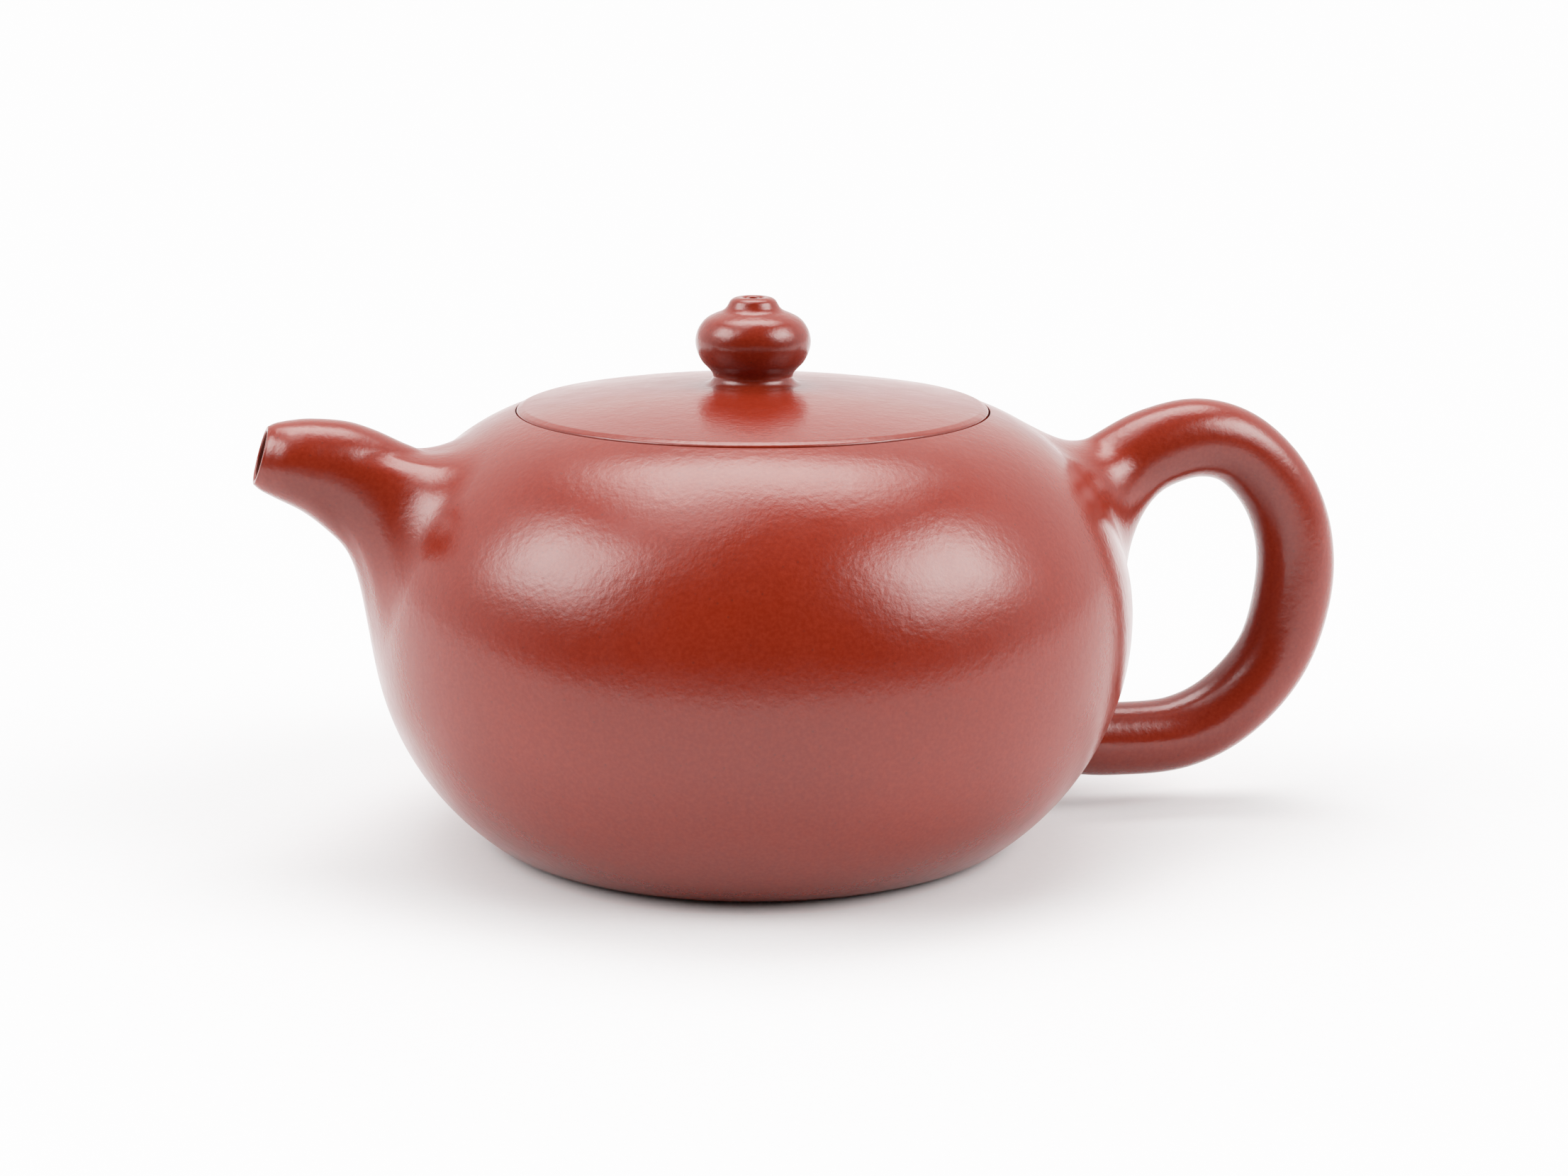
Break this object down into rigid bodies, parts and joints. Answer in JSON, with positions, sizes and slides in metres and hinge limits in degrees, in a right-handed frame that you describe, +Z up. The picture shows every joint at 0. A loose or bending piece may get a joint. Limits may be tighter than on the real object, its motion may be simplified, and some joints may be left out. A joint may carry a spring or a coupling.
{
  "type": "yixing clay teapot",
  "caption": "Low round unglazed clay teapot with a short spout, an ear handle and an embedded domed lid with a ball knob, standing on a flat base.",
  "frame": {"origin": "centre of the flat base, on the axis of the belly, where the pot stands", "axes": "+Z up along the axis of the belly and the lid, -X towards the spout, +X towards the handle"},
  "size_m": [0.1541, 0.105, 0.0749],
  "materials": {
    "clay_body": "unglazed red-brown stoneware, burnished to a soft satin with a fine orange-peel grain",
    "clay_lid": "unglazed red-brown stoneware, burnished to a soft satin with a fine orange-peel grain",
    "clay_inside": "unglazed red-brown stoneware, matt and unburnished, with tool marks"
  },
  "bodies": {
    "pot": {"base_disc": "clay_body", "body_wall": "clay_body", "shoulder_disc": "clay_body", "mouth_ring": "clay_inside", "spout": "clay_body", "spout_strainer": "clay_inside", "handle": "clay_body"},
    "lid_carrier": {"lid_slip_bead": "clay_inside"},
    "lid": {"lid_plate": "clay_lid", "lid_flange": "clay_inside", "lid_knob": "clay_lid"}
  },
  "joints": [
    {"name": "lid_lift", "type": "slide", "parent": "pot", "child": "lid_carrier", "axis": [0, 0, 1], "range_m": [0, 0.06]},
    {"name": "lid_turn", "type": "hinge", "parent": "lid_carrier", "child": "lid", "pos_m": [0, 0, 0.0562], "axis": [0, 0, 1], "continuous": true}
  ]
}
